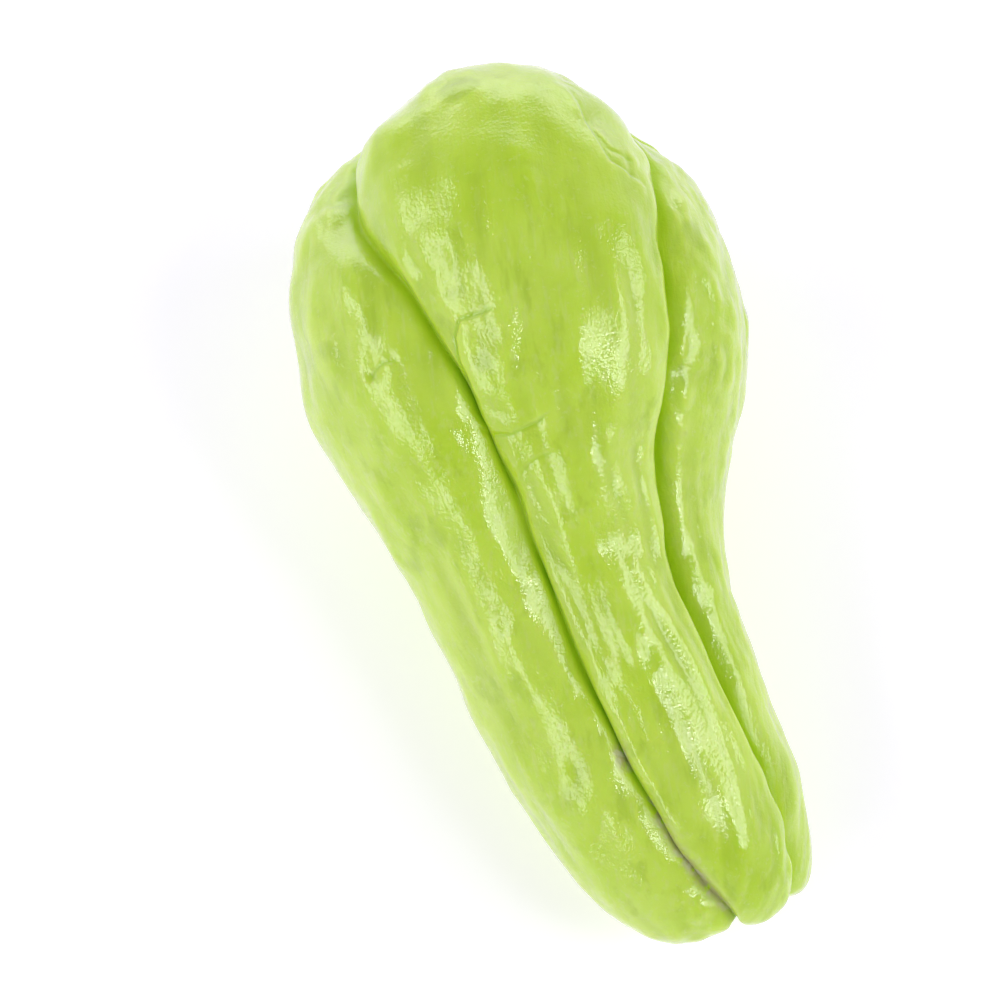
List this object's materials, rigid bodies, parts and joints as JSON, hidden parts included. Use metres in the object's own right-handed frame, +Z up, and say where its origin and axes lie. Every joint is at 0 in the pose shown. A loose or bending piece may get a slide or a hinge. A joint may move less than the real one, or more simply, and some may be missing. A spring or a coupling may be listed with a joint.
{
  "type": "chayote squash",
  "caption": "Ribbed pear-shaped green fruit with a long bent neck, lobes parted by deep furrows, a dimpled stem end and a cleft blossom end, lying on its side",
  "frame": {"origin": "on the surface the fruit lies on, under the centre of its bounding box", "axes": "+Y from the narrow stem end to the wide blossom end, +Z up, +X to the side the stem end bends towards"},
  "size_m": [0.0886, 0.164, 0.0765],
  "materials": {
    "skin": "waxy, satin to gloss"
  },
  "bodies": {
    "root": {"chayote": "skin"}
  },
  "joints": []
}
